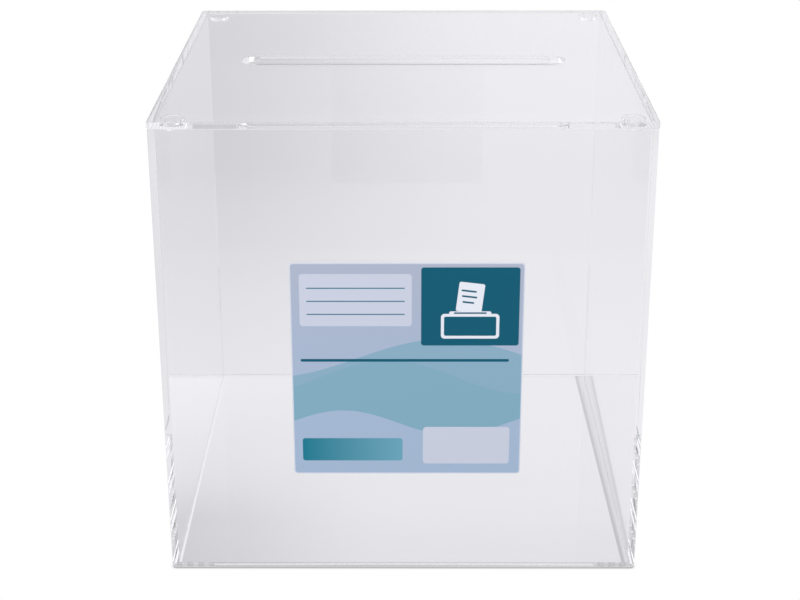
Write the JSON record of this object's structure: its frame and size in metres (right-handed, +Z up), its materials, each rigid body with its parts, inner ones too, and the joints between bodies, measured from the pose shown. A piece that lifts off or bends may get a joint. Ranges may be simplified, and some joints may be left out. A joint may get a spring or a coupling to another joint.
{
  "type": "ballot box",
  "caption": "Clear acrylic ballot box: four walls bonded on a base plate, loose lift-off lid with a round-ended ballot slot and locating pads, square printed label on the front.",
  "frame": {"origin": "on the table under the middle of the box", "axes": "+Z up, the labelled front faces -Y, +X to the right as the front is seen"},
  "size_m": [0.211, 0.211, 0.21],
  "materials": {
    "clear_acrylic_body": "polished clear acrylic sheet",
    "clear_acrylic_lid": "polished clear acrylic sheet with polished cut edges",
    "clear_pad": "clear moulded pad",
    "printed_label": "satin printed film"
  },
  "bodies": {
    "box": {"base_panel": "clear_acrylic_body", "front_panel": "clear_acrylic_body", "back_panel": "clear_acrylic_body", "left_panel": "clear_acrylic_body", "right_panel": "clear_acrylic_body", "front_label": "printed_label"},
    "lid": {"lid_panel": "clear_acrylic_lid", "lid_pad_front_left": "clear_pad", "lid_pad_front_right": "clear_pad", "lid_pad_back_left": "clear_pad", "lid_pad_back_right": "clear_pad"}
  },
  "joints": [
    {"name": "lid_lift", "type": "slide", "parent": "box", "child": "lid", "axis": [0, 0, 1], "range_m": [0, 0.25]}
  ]
}
